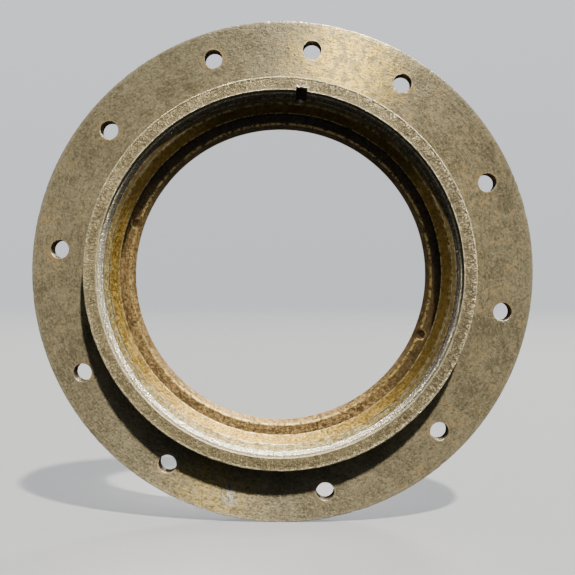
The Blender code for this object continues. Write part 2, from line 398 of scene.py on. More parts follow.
def cut(obj, tools):
    """Subtracts the tools for good and removes them."""
    for tool in tools:
        boolean = obj.modifiers.new(tool.name, "BOOLEAN")
        boolean.operation = "DIFFERENCE"
        boolean.solver = "EXACT"
        boolean.object = tool
    graph = bpy.context.evaluated_depsgraph_get()
    mesh = bpy.data.meshes.new_from_object(obj.evaluated_get(graph))
    obj.modifiers.clear()
    obj.data = mesh
    for tool in tools:
        bpy.data.objects.remove(tool)
    smooth(mesh)


def mark(obj, name, values):
    """Writes one number for each of an object's points, as an attribute."""
    attribute = obj.data.attributes.new(name, "FLOAT", "POINT")
    attribute.data.foreach_set("value", values.astype(np.float32))


def mark_edges(obj, name, rings, reach, beside=None):
    """Marks each point's closeness to circular edges.

    A ring is (centre x, centre z, radius, height), in millimetres. beside(x, height, z), where it's
    given, is each point's distance from one more edge, which is marked more strongly.
    """
    strength, width = 1.6, 1.2
    x, y, z = points_of(obj.data).astype(float).T / MM
    close = np.zeros(len(x))
    for centre_x, centre_z, radius, height in rings:
        away = np.hypot(np.hypot(x - centre_x, z - centre_z) - radius, -y - height)
        close = np.maximum(close, np.exp(-((away / reach) ** 2)))
    if beside is not None:
        close = np.maximum(close, strength * np.exp(-((beside(x, -y, z) / width) ** 2)))
    mark(obj, name, close)


def mark_walls(obj, name, centres, radius):
    """Marks 1 where a point is on the wall of a hole, and 0 elsewhere."""
    tolerance = 0.15
    x, _, z = points_of(obj.data).astype(float).T / MM
    close = np.zeros(len(x))
    for centre_x, centre_z in centres:
        away = np.abs(np.hypot(x - centre_x, z - centre_z) - radius)
        close = np.maximum(close, away < tolerance)
    mark(obj, name, close)


def finish_piece(obj, material, body, node):
    obj.data.materials.clear()
    obj.data.materials.append(material)
    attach(obj, body)
    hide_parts(node)


# ---------------- shader graphs


class Nodes:
    """Short names for what a node tree is built from."""

    def __init__(self, tree):
        self.tree = tree

    def add(self, kind, **settings):
        node = self.tree.nodes.new(kind)
        for key, value in settings.items():
            setattr(node, key, value)
        return node

    def feed(self, socket, value):
        if isinstance(value, bpy.types.NodeSocket):
            self.tree.links.new(value, socket)
        elif socket.type == "RGBA" and len(value) == 3:
            socket.default_value = (*value, 1.0)
        else:
            socket.default_value = value

    def math(self, operation, first, second=0.0, clamp=False):
        node = self.add("ShaderNodeMath", operation=operation, use_clamp=clamp)
        self.feed(node.inputs[0], first)
        self.feed(node.inputs[1], second)
        return node.outputs[0]

    def times(self, first, second):
        return self.math("MULTIPLY", first, second)

    def vector_math(self, operation, first, second=(0.0, 0.0, 0.0), output="Vector"):
        node = self.add("ShaderNodeVectorMath", operation=operation)
        self.feed(node.inputs[0], first)
        self.feed(node.inputs[1], second)
        return node.outputs[output]

    def in_mm(self, vector):
        return self.vector_math("MULTIPLY", vector, (1 / MM, 1 / MM, 1 / MM))

    def combined(self, x, y, z):
        node = self.add("ShaderNodeCombineXYZ")
        for socket, value in zip(node.inputs, (x, y, z)):
            self.feed(socket, value)
        return node.outputs[0]

    def noise(self, vector, scale, detail=3.0, roughness=0.55, distortion=0.0):
        node = self.add("ShaderNodeTexNoise")
        self.feed(node.inputs["Vector"], vector)
        self.feed(node.inputs["Scale"], scale)
        self.feed(node.inputs["Detail"], detail)
        self.feed(node.inputs["Roughness"], roughness)
        self.feed(node.inputs["Distortion"], distortion)
        return node.outputs["Fac"]

    def band(self, value, low, high, start=0.0, end=1.0):
        """A smooth climb from start at low to end at high."""
        node = self.add("ShaderNodeMapRange", interpolation_type="SMOOTHSTEP")
        for key, number in (("From Min", low), ("From Max", high), ("To Min", start), ("To Max", end)):
            self.feed(node.inputs[key], number)
        self.feed(node.inputs["Value"], value)
        return node.outputs["Result"]

    def separated(self, vector):
        node = self.add("ShaderNodeSeparateXYZ")
        self.feed(node.inputs[0], vector)
        return node.outputs

    def mix(self, share, first, second):
        node = self.add("ShaderNodeMix", data_type="RGBA")
        self.feed(node.inputs["Factor"], share)
        colours = [s for s in node.inputs if s.type == "RGBA"]
        self.feed(colours[0], first)
        self.feed(colours[1], second)
        return next(s for s in node.outputs if s.type == "RGBA")

    def laid_over(self, film, mask, share, colour):
        """A film with a colour laid over it, as far as the mask and the share say."""
        return self.mix(self.times(mask, share), film, colour)

    def spread(self, film, value, low, high, share, colour):
        """A film with a colour laid over it where the value passes from low to high."""
        return self.mix(self.band(value, low, high, 0.0, share), film, colour)

    def attribute(self, name):
        return self.add("ShaderNodeAttribute", attribute_name=name).outputs["Fac"]

    def bump(self, height, distance, strength=1.0, normal=None):
        node = self.add("ShaderNodeBump")
        self.feed(node.inputs["Height"], height)
        self.feed(node.inputs["Distance"], distance)
        self.feed(node.inputs["Strength"], strength)
        if normal is not None:
            self.feed(node.inputs["Normal"], normal)
        return node.outputs["Normal"]

    def relief(self, *layers):
        """Bumps laid over each other: each layer is (height, distance, strength)."""
        normal = None
        for height, distance, strength in layers:
            normal = self.bump(height, distance, strength, normal)
        return normal

    def off_axis(self, x, z):
        """The distance from the object's axis."""
        across = self.times(x, x)
        up = self.times(z, z)
        return self.math("SQRT", self.math("ADD", across, up))

    def seen_directly(self):
        """1 for rays that reach the camera, also through glass, and 0 for light that pieces scatter."""
        path = self.add("ShaderNodeLightPath").outputs
        bounces = self.math("MAXIMUM", path["Diffuse Depth"], path["Glossy Depth"])
        return self.math("SUBTRACT", 1.0, bounces, clamp=True)


class Graph(Nodes):
    """A material's node tree around one Principled shader."""

    def __init__(self, name):
        self.material = bpy.data.materials.new(name)
        self.material.use_nodes = True
        super().__init__(self.material.node_tree)
        self.shader = self.tree.nodes["Principled BSDF"]
        self.coordinates = self.add("ShaderNodeTexCoord").outputs["Object"]

    def set(self, **values):
        for key, value in values.items():
            self.feed(self.shader.inputs[key.replace("_", " ")], value)


class TurnedMetal(Graph):
    """Coordinates that follow the lathe: millimetres, radius, direction round the axis, and depth."""

    def __init__(self, name):
        super().__init__(name)
        self.place = self.in_mm(self.coordinates)
        self.x, self.y, self.z = self.separated(self.place)
        self.radius = self.off_axis(self.x, self.z)
        self.turn_x = self.math("DIVIDE", self.x, self.radius)
        self.turn_z = self.math("DIVIDE", self.z, self.radius)
        self.forward = self.times(self.y, -1.0)
        self.run = self.math("ADD", self.radius, self.times(self.forward, 1.6))

    def ring_lines(self, fine, round_scale, detail=3.0):
        """Noise drawn out along the turning direction, fine features to the millimetre across it."""
        vector = self.combined(
            self.times(self.run, fine),
            self.times(self.turn_x, round_scale),
            self.times(self.turn_z, round_scale),
        )
        return self.noise(vector, 1.0, detail, 0.6)

    def ray_lines(self, fine, out_scale, detail=2.0):
        """Noise drawn out along the radius, fine features around a whole turn."""
        vector = self.combined(
            self.times(self.run, out_scale),
            self.times(self.turn_x, fine),
            self.times(self.turn_z, fine),
        )
        return self.noise(vector, 1.0, detail, 0.5)

    def around(self):
        """The turning direction, along which the tool's marks run."""
        return self.add("ShaderNodeTangent", direction_type="RADIAL", axis="Y").outputs[0]

    def near(self, x, z, reach, ragged=0.35):
        """1 at a place on the face, falling to 0 at reach millimetres, with a ragged edge."""
        offset = self.vector_math("ADD", self.place, (-x, 0.0, -z))
        flat = self.vector_math("MULTIPLY", offset, (1.0, 0.0, 1.0))
        length = self.vector_math("LENGTH", flat, output="Value")
        wobble = self.noise(self.place, 0.06, 4.0, 0.6)
        wobbled = self.math("MULTIPLY_ADD", wobble, -2 * ragged * reach)
        self.feed(wobbled.node.inputs[2], ragged * reach)
        away = self.math("ADD", length, wobbled)
        return self.band(away, reach, 0.2 * reach)


def flange_brass():
    """Tarnished brass: olive film rubbed to gold in places, the gold partly a painted highlight, tan and
    chalky stains, fine rings, and painted shade on the bolt holes' walls.
    """
    g = TurnedMetal("flange_brass_tarnished")
    broad = g.noise(g.place, 0.012, 3.0, 0.5)
    cloud = g.noise(g.place, 0.045, 5.0, 0.62, 0.6)
    mottle = g.noise(g.place, 0.16, 5.0, 0.68)
    grain = g.noise(g.place, 0.5, 3.0, 0.7)
    rings = g.ring_lines(0.45, 26.0, 4.0)
    fine_rings = g.ring_lines(1.3, 60.0, 2.0)
    film = g.mix(g.band(cloud, 0.36, 0.64), (0.205, 0.174, 0.10), (0.31, 0.265, 0.155))
    film = g.spread(film, broad, 0.42, 0.62, 0.4, (0.375, 0.32, 0.19))
    tan = g.times(g.band(mottle, 0.50, 0.60), g.band(cloud, 0.46, 0.56))
    sides = g.math("MAXIMUM", g.band(g.x, 20.0, 150.0), g.band(g.x, -170.0, -230.0))
    film = g.laid_over(film, g.times(tan, sides), 0.8, (0.45, 0.32, 0.15))
    # Rubbed gold, partly a painted highlight: the patches stand where the key light glints on the turned
    # face.
    low_rub_and_highlight = g.times(g.near(*LOW_GOLD_RUB_AND_HIGHLIGHT), 0.5)
    rubbed = g.math("MAXIMUM", g.near(*GOLD_RUB_AND_HIGHLIGHT), low_rub_and_highlight)
    rubbed = g.times(rubbed, g.band(mottle, 0.42, 0.54, 0.25, 1.0))
    film = g.laid_over(film, rubbed, 0.9, (0.80, 0.56, 0.12))
    film = g.spread(film, grain, 0.46, 0.38, 0.6, (0.10, 0.085, 0.05))
    film = g.spread(film, grain, 0.54, 0.62, 0.55, (0.48, 0.405, 0.245))
    film = g.spread(film, rings, 0.54, 0.68, 0.45, (0.42, 0.36, 0.22))
    film = g.spread(film, rings, 0.46, 0.34, 0.4, (0.12, 0.10, 0.06))
    lime = g.times(g.near(*LIME_PATCH, 0.6), g.band(grain, 0.42, 0.56))
    lime = g.times(lime, g.band(g.forward, 8.0, 12.0))
    film = g.laid_over(film, lime, 0.8, (0.50, 0.52, 0.50))
    seep = g.times(g.attribute("seep"), g.band(cloud, 0.44, 0.56))
    seep = g.times(seep, g.band(grain, 0.38, 0.55))
    film = g.laid_over(film, seep, 0.85, (0.47, 0.29, 0.11))
    wear = g.times(g.attribute("wear"), g.band(mottle, 0.4, 0.58, 0.3, 1.0))
    film = g.mix(wear, film, (0.82, 0.72, 0.48))
    bare = g.math("MAXIMUM", wear, rubbed)
    # Painted shade: the bolt holes' walls are darkened and made less metallic, as if in their own shadow.
    inside = g.times(g.attribute("wall"), g.band(g.forward, FLANGE_FACE - 0.5, FLANGE_FACE - 1.4))
    film = g.laid_over(film, inside, 0.85, (0.085, 0.06, 0.032))
    bare = g.times(bare, g.math("SUBTRACT", 1.0, inside))
    rough = g.math("ADD", g.band(grain, 0.3, 0.7, 0.40, 0.58), g.times(bare, -0.06))
    metal = g.math("ADD", 0.42, g.times(bare, 0.55), clamp=True)
    relief = g.relief(
        (fine_rings, 0.00035, 0.7), (rings, 0.0006, 0.6), (grain, 0.0004, 0.6), (mottle, 0.0006, 0.4)
    )
    g.set(Base_Color=film, Roughness=rough, Metallic=metal, Normal=relief)
    g.set(Anisotropic=0.82, Anisotropic_Rotation=0.25, Tangent=g.around())
    return g.material


def collar_brass():
    """Hammered and scuffed: beige film, pale flecks, slanting scratches, bright edges and mouth; painted
    shade on the mouth's upper and right part and below the retaining ring's top; darker towards the lower
    right.
    """
    g = TurnedMetal("collar_brass_scuffed")
    cloud = g.noise(g.place, 0.05, 4.0, 0.6, 0.5)
    mottle = g.noise(g.place, 0.22, 5.0, 0.7, 0.4)
    grain = g.noise(g.place, 0.58, 3.0, 0.72, 0.8)
    rays = g.ray_lines(120.0, 0.34, 3.0)
    rings = g.ring_lines(0.8, 50.0)
    film = g.mix(g.band(cloud, 0.36, 0.64), (0.165, 0.132, 0.066), (0.26, 0.21, 0.108))
    film = g.spread(film, mottle, 0.46, 0.60, 0.6, (0.35, 0.28, 0.145))
    # Darker towards the lower right of the face.
    dull = g.times(g.band(g.x, 90.0, 170.0), g.band(g.z, -170.0, -90.0))
    film = g.laid_over(film, dull, 0.6, (0.10, 0.08, 0.046))
    film = g.spread(film, grain, 0.46, 0.38, 0.7, (0.09, 0.072, 0.038))
    fleck = g.times(g.band(grain, 0.54, 0.60), g.band(mottle, 0.44, 0.56, 0.1, 0.8))
    film = g.mix(fleck, film, (0.66, 0.54, 0.285))
    rough_patch = g.times(g.band(rays, 0.55, 0.62), g.band(cloud, 0.44, 0.58, 0.05, 0.8))
    film = g.mix(rough_patch, film, (0.66, 0.55, 0.31))
    bore = g.band(g.radius, MOUTH_RADIUS + 0.4, MOUTH_RADIUS - 0.3)
    polish = g.times(bore, g.band(rings, 0.35, 0.6, 0.5, 1.0))
    film = g.mix(polish, film, (0.74, 0.69, 0.55))
    # Painted shade: the mouth's upper part and its right side are darkened, as if in the collar's own
    # shadow.
    upper = g.times(bore, g.math("MAXIMUM", g.band(g.z, 25.0, 85.0), g.band(g.x, 90.0, 160.0)))
    film = g.laid_over(film, upper, 0.85, (0.10, 0.09, 0.085))
    # Painted shade: darker below the retaining ring's top, deep in the bore and on the collar's lower
    # sides.
    deep = g.band(g.forward, RETAINING_TOP + 0.3, RETAINING_TOP - 0.6)
    film = g.laid_over(film, deep, 0.7, (0.12, 0.08, 0.036))
    outer = g.band(g.radius, COLLAR_RADIUS - 5.0, COLLAR_RADIUS - 2.0)
    torn = g.times(g.band(rays, 0.49, 0.58), g.band(g.x, 0.0, 110.0, 0.25, 0.9))
    wear = g.times(g.attribute("wear"), g.band(mottle, 0.36, 0.54, 0.3, 1.0))
    wear = g.math("MAXIMUM", wear, g.times(outer, torn))
    film = g.mix(wear, film, (0.92, 0.81, 0.52))
    bright = g.math("MAXIMUM", wear, g.math("MAXIMUM", rough_patch, polish))
    rough = g.math("ADD", g.band(grain, 0.3, 0.7, 0.36, 0.58), g.times(bright, -0.1))
    metal = g.math("ADD", 0.42, g.times(bright, 0.45), clamp=True)
    metal = g.math("MAXIMUM", metal, g.times(bore, 0.85))
    rough = g.math("ADD", rough, g.times(bore, -0.1))
    relief = g.relief(
        (grain, 0.0009, 0.8), (mottle, 0.0012, 0.5), (rays, 0.0008, 0.6), (rings, 0.0002, 0.4)
    )
    g.set(Base_Color=film, Roughness=rough, Metallic=metal, Normal=relief)
    return g.material


def bore_brass(name, films, lines, wear_colour, stain):
    """The inner rings: machined lines over a film from dark to light, with bright crests, and painted
    shade over the upper part and the right side.

    films are the dark, the light and the crest colour; lines is how many lines a millimetre holds.
    """
    g = TurnedMetal(name)
    film_dark, film_light, crest = films
    cloud = g.noise(g.place, 0.06, 5.0, 0.62, 0.4)
    mottle = g.noise(g.place, 0.28, 4.0, 0.68)
    grain = g.noise(g.place, 0.45, 3.0, 0.72)
    rings = g.ring_lines(lines, 36.0)
    fine_rings = g.ring_lines(lines * 2.3, 90.0)
    film = g.mix(g.band(cloud, 0.36, 0.64), film_dark, film_light)
    film = g.spread(film, mottle, 0.5, 0.38, 0.55, film_dark)
    patch = g.times(g.band(cloud, 0.5, 0.6), g.band(mottle, 0.46, 0.58))
    film = g.laid_over(film, patch, 0.75, stain)
    film = g.spread(film, rings, 0.5, 0.62, 0.8, crest)
    film = g.spread(film, rings, 0.47, 0.40, 0.6, tuple(0.6 * c for c in film_dark))
    film = g.spread(film, grain, 0.46, 0.38, 0.7, tuple(0.5 * c for c in film_dark))
    film = g.spread(film, grain, 0.54, 0.60, 0.7, tuple(min(0.95, 1.5 * c) for c in crest))
    # Painted shade: the upper part and the right side are darkened, as if in the collar's shadow.
    upper = g.math("MAXIMUM", g.band(g.z, 30.0, 90.0), g.band(g.x, 80.0, 150.0))
    film = g.laid_over(film, upper, 0.78, tuple(0.4 * c for c in film_dark))
    wear = g.times(g.attribute("wear"), g.band(mottle, 0.45, 0.53))
    film = g.mix(wear, film, wear_colour)
    rough = g.math("ADD", g.band(grain, 0.3, 0.7, 0.34, 0.54), g.times(wear, -0.1))
    metal = g.math("ADD", 0.7, g.times(wear, 0.3), clamp=True)
    relief = g.relief(
        (fine_rings, 0.0002, 0.6), (rings, 0.0005, 0.6), (grain, 0.0006, 0.7), (mottle, 0.0006, 0.4)
    )
    g.set(Base_Color=film, Roughness=rough, Metallic=metal, Normal=relief)
    g.set(Anisotropic=0.5, Anisotropic_Rotation=0.25, Tangent=g.around())
    return g.material


def screw_steel():
    """A zinc-plated screw, rubbed where the driver slips."""
    g = Graph("screw_steel_plated")
    place = g.in_mm(g.coordinates)
    cloud = g.noise(place, 0.9, 4.0, 0.6)
    scuff = g.noise(g.vector_math("MULTIPLY", place, (1.0, 1.0, 5.0)), 1.6, 3.0, 0.6)
    film = g.mix(g.band(cloud, 0.35, 0.65), (0.36, 0.35, 0.33), (0.72, 0.71, 0.69))
    film = g.spread(film, scuff, 0.58, 0.7, 0.7, (0.9, 0.9, 0.88))
    rough = g.band(cloud, 0.3, 0.7, 0.46, 0.24)
    relief = g.bump(scuff, 0.00006, 0.7)
    g.set(Base_Color=film, Roughness=rough, Metallic=0.95, Normal=relief)
    return g.material


def rubber(name, dark, light, bloom):
    """Moulded or cut elastomer: fine grain, mould bloom and a dull sheen."""
    g = Graph(name)
    place = g.in_mm(g.coordinates)
    cloud = g.noise(place, 0.12, 4.0, 0.6)
    grain = g.noise(place, 3.4, 3.0, 0.7)
    film = g.mix(g.band(cloud, 0.35, 0.65), dark, light)
    film = g.spread(film, grain, 0.58, 0.7, 0.35, bloom)
    rough = g.band(cloud, 0.3, 0.7, 0.62, 0.86)
    relief = g.bump(grain, 0.00012, 0.6)
    g.set(Base_Color=film, Roughness=rough, Normal=relief)
    return g.material


def clear_glass():
    """Toughened glass seen straight through; its ground edge and faint wipe marks show."""
    g = Graph("glass_clear")
    place = g.in_mm(g.coordinates)
    smear = g.noise(g.vector_math("MULTIPLY", place, (0.6, 1.0, 2.2)), 0.03, 5.0, 0.6, 1.2)
    x, _, z = g.separated(place)
    ground = g.band(g.off_axis(x, z), GLASS_RADIUS - 1.1, GLASS_RADIUS - 0.7)
    rough = g.math("ADD", g.band(smear, 0.35, 0.75, 0.0, 0.03), g.times(ground, 0.45))
    tint = g.mix(ground, (0.985, 0.995, 0.99), (0.72, 0.82, 0.77))
    g.set(Base_Color=tint, Roughness=rough, IOR=1.5, Transmission_Weight=1.0)
    return g.material


# ---------------- pieces


def build_flange():
    face = FLANGE_FACE
    bore = COLLAR_RADIUS + GAP
    profile = outline(
        (FLANGE_RADIUS, face, 0.85, 1.6),
        (FLANGE_RADIUS, 0, 0.7, 3.6),
        (bore, 0, 0.4, 3.0),
        (bore, face, 0.5, 3.6),
    )
    grid = Grid(profile, 900)
    rim = smooth_step(grid.radius, FLANGE_RADIUS - 3, FLANGE_RADIUS - 0.5)
    front_nicks = nicks(grid, 11, 70, FLANGE_RADIUS, face, (1.0, 3.2), (0.08, 0.5))
    back_nicks = nicks(grid, 12, 40, FLANGE_RADIUS, 0, (1.0, 3.0), (0.1, 0.5))
    uneven = 0.05 + 0.05 * grid.noise(14, 3) + 0.04 * grid.noise(3.5, 4)
    grid.push(-deepest(front_nicks, back_nicks, rim * uneven))

    def centre(radius):
        return smooth_step(radius, COLLAR_RADIUS + 2, BOLT_CIRCLE_RADIUS - 14)

    flange = turned("flange_body", grid, centre)
    hole = BOLT_HOLE_RADIUS
    chamfer = 0.4
    spill = 1.0
    holes = []
    for bearing in BOLT_HOLE_BEARINGS:
        profile = [
            (hole + chamfer + spill, face + spill),
            (hole + 0.25 * chamfer, face - 0.6 * chamfer),
            (hole, face - 1.2 * chamfer),
            (hole, chamfer),
            (hole + chamfer + spill, -spill),
        ]
        holes.append(spindle(f"bolt_hole_{bearing}", profile, bolt_place(bearing), 72))
    cut(flange, holes)
    places = [bolt_place(bearing) for bearing in BOLT_HOLE_BEARINGS]
    rings = [
        (*RUN_OUT, FLANGE_RADIUS - 0.35, face - 0.15),
        (*RUN_OUT, FLANGE_RADIUS - 0.2, 0.2),
        (0, 0, bore, face),
        *((*place, hole + 0.3, face - 0.2) for place in places),
    ]
    mark_edges(flange, "wear", rings, 0.55)
    mark_edges(flange, "seep", [(*place, hole, face) for place in places], 4.0)
    mark_walls(flange, "wall", places, hole)
    finish_piece(flange, flange_brass(), "frame", "mounting_flange")


def build_collar():
    top = COLLAR_FACE
    cone_top = top - MOUTH_DEPTH
    cone_foot = RETAINING_TOP
    profile = outline(
        (COLLAR_RADIUS, top, 0.7, 1.3),
        (COLLAR_RADIUS, FLANGE_FACE + 1, 0, 5.0),
        (COLLAR_RADIUS, BACK_RECESS, 0.4, 4.0),
        (LEDGE_RADIUS, BACK_RECESS, 0.3, 1.2),
        (LEDGE_RADIUS, LEDGE_HEIGHT, 0, 2.0),
        (THREAD_RADIUS, LEDGE_HEIGHT, 0, 4.0),
        (THREAD_RADIUS, RETAINING_BOTTOM - 1, 0, 0.42),
        (THREAD_RADIUS, cone_foot, 0.3, 0.7),
        (STEP_RADIUS, cone_top, 0.35, 0.6),
        (MOUTH_RADIUS, cone_top, 0.2, 0.9),
        (MOUTH_RADIUS, top, 0.5, 0.6),
        (MOUTH_RADIUS + 2.2, top, 0, 0.9),
        (COLLAR_RADIUS - 2.6, top, 0, 0.45),
    )
    grid = Grid(profile, 1500)
    front = smooth_step(grid.height, top - 1.6, top - 0.6)
    outside = smooth_step(grid.radius, COLLAR_RADIUS - 1.2, COLLAR_RADIUS - 0.6)
    visible = smooth_step(grid.height, FLANGE_FACE + 0.5, FLANGE_FACE + 2)
    outer_lip = smooth_step(grid.radius, COLLAR_RADIUS - 2.4, COLLAR_RADIUS - 1.1)
    inner_lip = smooth_step(grid.radius, MOUTH_RADIUS + 1.5, MOUTH_RADIUS + 0.6)
    dents = 0.38 + 0.10 * grid.noise(6.5, 21) + 0.10 * grid.noise(1.8, 22)
    dents = dents * (1 - 0.75 * np.maximum(outer_lip, 0.6 * inner_lip))
    keyway_burr = np.hypot(grid.arc_from(KEYWAY_BEARING), grid.radius - MOUTH_RADIUS - KEYWAY_DEPTH - 1)
    dents = dents * smooth_step(keyway_burr, 3.5, 7.5)
    lumps = 0.12 + 0.08 * grid.noise(9, 23) + 0.05 * grid.noise(3, 24)
    outer_nicks = nicks(grid, 25, 150, COLLAR_RADIUS, top, (0.8, 2.6), (0.15, 0.6))
    inner_nicks = nicks(grid, 26, 90, MOUTH_RADIUS, top, (0.7, 1.8), (0.1, 0.45))
    face = (MOUTH_RADIUS, COLLAR_RADIUS, top)
    scratches = gouges(grid, 27, 170, *face, (3, 12), (0.5, 0.9), (0.1, 0.32))
    thread = thread_cut(grid, THREAD_RADIUS, RETAINING_BOTTOM, cone_foot - 0.9)
    worn = deepest(front * dents, outside * visible * lumps, outer_nicks, inner_nicks)
    grid.push(-deepest(worn, scratches, thread))
    collar = turned("collar_sleeve", grid)
    keyway_end = MOUTH_RADIUS + KEYWAY_DEPTH
    slot_floor = RETAINING_TOP - SLOT_DROP
    keyway = slot_block("keyway", THREAD_RADIUS - 2, keyway_end, slot_floor, top + 1, 0.35)
    cut(collar, [keyway])
    angle = math.radians(KEYWAY_BEARING)
    burr_radius = keyway_end + 0.8
    rings = [
        (0, 0, COLLAR_RADIUS - 0.3, top - 0.2),
        (0, 0, MOUTH_RADIUS + 0.3, top - 0.2),
        (0, 0, STEP_RADIUS, cone_top),
    ]

    def from_keyway(x, height, z):
        """Distance from the keyway's outer corner on the face."""
        out = x * math.sin(angle) + z * math.cos(angle)
        across = x * math.cos(angle) - z * math.sin(angle)
        aside = np.maximum(np.abs(across) - KEYWAY_WIDTH / 2, 0)
        return np.sqrt((out - burr_radius) ** 2 + aside**2 + (top - height) ** 2)

    mark_edges(collar, "wear", rings, 0.75, from_keyway)
    finish_piece(collar, collar_brass(), "frame", "collar")


def thread_cut(grid, radius, bottom, top):
    """Depth of a screw thread's groove on the wall at a radius, between two heights."""
    on_wall = np.abs(grid.radius - radius) < 0.05
    ends = smooth_step(grid.height, bottom, bottom + 0.8) * smooth_step(grid.height, top, top - 0.8)
    turns = grid.height / THREAD_PITCH - grid.bearing / 360
    groove = 0.5 - 0.5 * np.cos(2 * math.pi * turns)
    return on_wall * ends * THREAD_DEPTH * groove


def build_seat_ring():
    step = LEDGE_HEIGHT + GAP
    profile = outline(
        (SEAT_RADIUS, SEAT_FACE, 0.2, 3.0),
        (SEAT_RADIUS, step, 0, 3.0),
        (SEAT_RIM_RADIUS, step, 0, 3.0),
        (SEAT_RIM_RADIUS, BACK_RECESS, 0.3, 3.0),
        (OPENING_RADIUS, BACK_RECESS, 0.3, 0.7),
        (SEAT_BEVEL_RADIUS, SEAT_FACE - SEAT_BEVEL_DROP, 0.35, 0.6),
        (SEAT_EDGE_RADIUS, SEAT_FACE, 0.5, 0.8),
    )
    grid = Grid(profile, 1100)
    lit = smooth_step(grid.radius, SEAT_EDGE_RADIUS + 14, SEAT_EDGE_RADIUS + 10)
    lit = lit * smooth_step(grid.height, BACK_RECESS + 0.1, BACK_RECESS + 0.8)
    pits = 0.09 + 0.07 * grid.noise(5, 31) + 0.05 * grid.noise(2.2, 32)
    turned_lines = 0.05 + 0.05 * np.sin(2 * math.pi * grid.radius / 1.7)
    edge = nicks(grid, 33, 160, SEAT_EDGE_RADIUS, SEAT_FACE, (0.6, 2.0), (0.1, 0.5))
    lip = nicks(grid, 34, 90, SEAT_BEVEL_RADIUS, SEAT_FACE - SEAT_BEVEL_DROP, (0.6, 1.8), (0.1, 0.4))
    grid.push(-deepest(lit * (pits + turned_lines), edge, lip))
    seat = turned("seat_ring_turned", grid)
    holes = []
    chamfer = 0.5
    spill = 1.0
    for bearing in SPANNER_HOLE_BEARINGS:
        profile = [
            (SPANNER_HOLE_RADIUS + chamfer + spill, SEAT_FACE + spill),
            (SPANNER_HOLE_RADIUS, SEAT_FACE - chamfer),
            (SPANNER_HOLE_RADIUS, SPANNER_HOLE_FLOOR + 0.6),
            (SPANNER_HOLE_RADIUS - 1.6, SPANNER_HOLE_FLOOR),
        ]
        at = clock(SPANNER_HOLE_CIRCLE_RADIUS, bearing)
        holes.append(spindle(f"spanner_hole_{bearing}", profile, at, 56))
    cut(seat, holes)
    rings = [
        (0, 0, SEAT_EDGE_RADIUS - 0.2, SEAT_FACE - 0.2),
        (0, 0, SEAT_EDGE_RADIUS - 0.9, SEAT_FACE - 0.7),
    ]
    for bearing in SPANNER_HOLE_BEARINGS:
        at = clock(SPANNER_HOLE_CIRCLE_RADIUS, bearing)
        rings.append((*at, SPANNER_HOLE_RADIUS + 0.3, SEAT_FACE - 0.2))
    mark_edges(seat, "wear", rings, 0.7)
    films = ((0.12, 0.072, 0.024), (0.22, 0.138, 0.048), (0.33, 0.22, 0.085))
    material = bore_brass("seat_brass_brown", films, 0.6, (0.76, 0.57, 0.21), (0.25, 0.145, 0.06))
    finish_piece(seat, material, "frame", "seat_ring")


def build_gasket(name, box, inner, material, slot, node, seed):
    """A punched rubber ring, its edges slightly uneven."""
    low, high = box
    outer = high.x / MM
    bottom = -high.y / MM
    top = -low.y / MM
    profile = outline(
        (outer, top, 0.3, 0.5),
        (outer, bottom, 0.3, 2.5),
        (inner, bottom, 0.35, 0.4),
        (inner, top, 0.35, 2.5),
    )
    grid = Grid(profile, 480)
    grid.push(-(0.05 + 0.04 * grid.noise(4, seed)))
    ring = turned(name, grid)
    finish_piece(ring, material, "frame", node)


def build_seals():
    black = rubber("gasket_rubber_black", (0.018, 0.016, 0.014), (0.045, 0.038, 0.03), (0.12, 0.11, 0.095))
    brown = rubber("packing_rubber_brown", (0.11, 0.06, 0.03), (0.22, 0.13, 0.07), (0.36, 0.27, 0.18))
    rear = ("rear_gasket_punched", REAR_GASKET_BOX, REAR_GASKET_INNER_RADIUS)
    build_gasket(*rear, black, "gasket_rubber", "rear_gasket", 41)
    front = ("front_gasket_punched", FRONT_GASKET_BOX, FRONT_GASKET_INNER_RADIUS)
    build_gasket(*front, black, "gasket_rubber", "front_gasket", 42)
    band = ("edge_packing_band", PACKING_BOX, GLASS_RADIUS + GAP)
    build_gasket(*band, brown, "packing_rubber", "glass_edge_packing", 43)


def build_glass():
    """A thick disc: two polished faces, a ground edge with its chamfers."""
    chamfer = 0.8
    steps = 480
    rows = [
        (GLASS_RADIUS - chamfer, GLASS_TOP),
        (GLASS_RADIUS - 0.3 * chamfer, GLASS_TOP - 0.3 * chamfer),
        (GLASS_RADIUS, GLASS_TOP - chamfer),
        (GLASS_RADIUS, GLASS_BOTTOM + chamfer),
        (GLASS_RADIUS - 0.3 * chamfer, GLASS_BOTTOM + 0.3 * chamfer),
        (GLASS_RADIUS - chamfer, GLASS_BOTTOM),
    ]
    disc = spindle("glass_pane", rows, (0, 0), steps)
    smooth(disc.data, 20)
    disc.visible_shadow = False
    finish_piece(disc, clear_glass(), "frame", "glass_disc")


